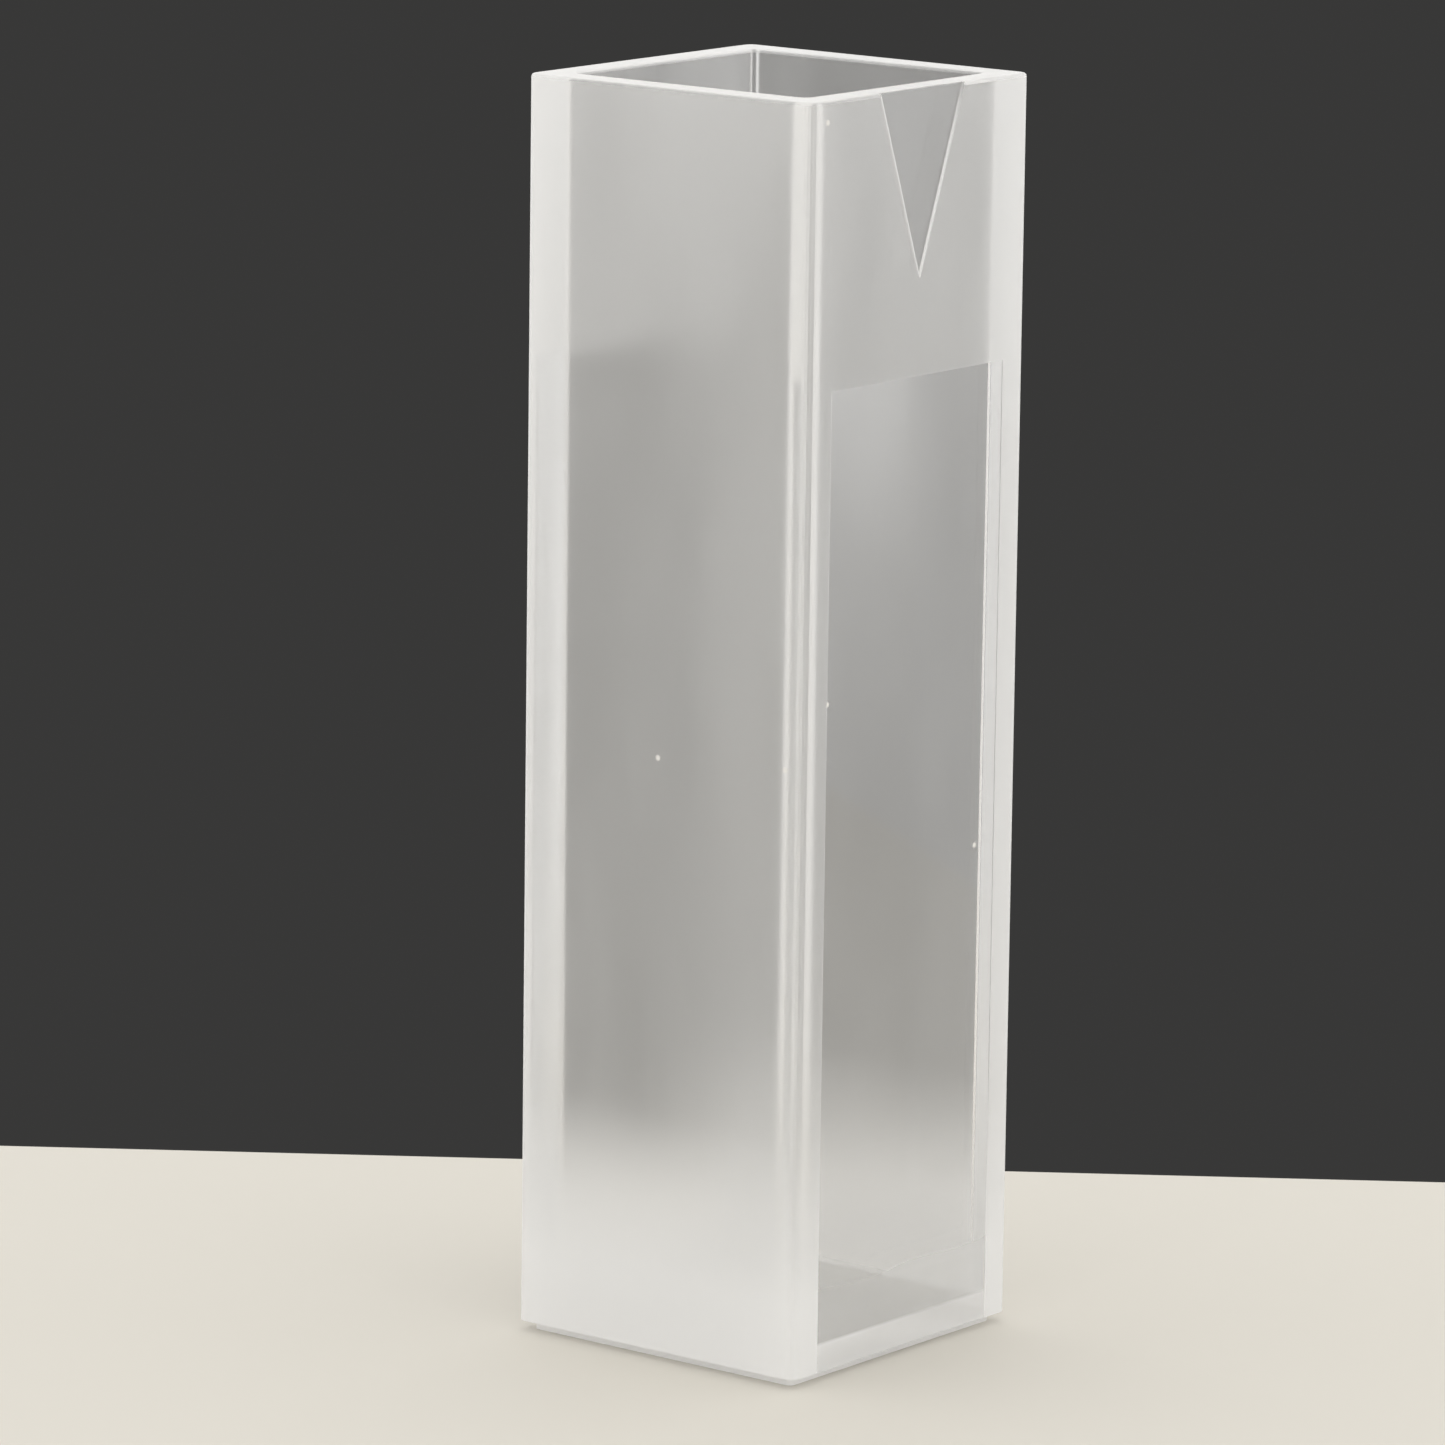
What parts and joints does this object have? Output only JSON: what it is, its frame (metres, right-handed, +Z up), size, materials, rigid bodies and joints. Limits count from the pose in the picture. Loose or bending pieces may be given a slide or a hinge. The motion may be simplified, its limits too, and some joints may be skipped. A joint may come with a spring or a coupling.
{
  "type": "cuvette",
  "caption": "Clear plastic square cuvette, open at the top, with polished windows, matt sides, a stepped foot and a small triangle that marks the light path.",
  "frame": {"origin": "middle of the underside of the foot", "axes": "+Z up through the mouth, Y along the light path through the polished windows, the marked window faces -Y, X across the matt sides"},
  "size_m": [0.0126, 0.0126, 0.045],
  "materials": {
    "cuvette_body": "clear polystyrene, polished windows and fine matt sides"
  },
  "bodies": {
    "root": {"cuvette_body": "cuvette_body"}
  },
  "joints": []
}
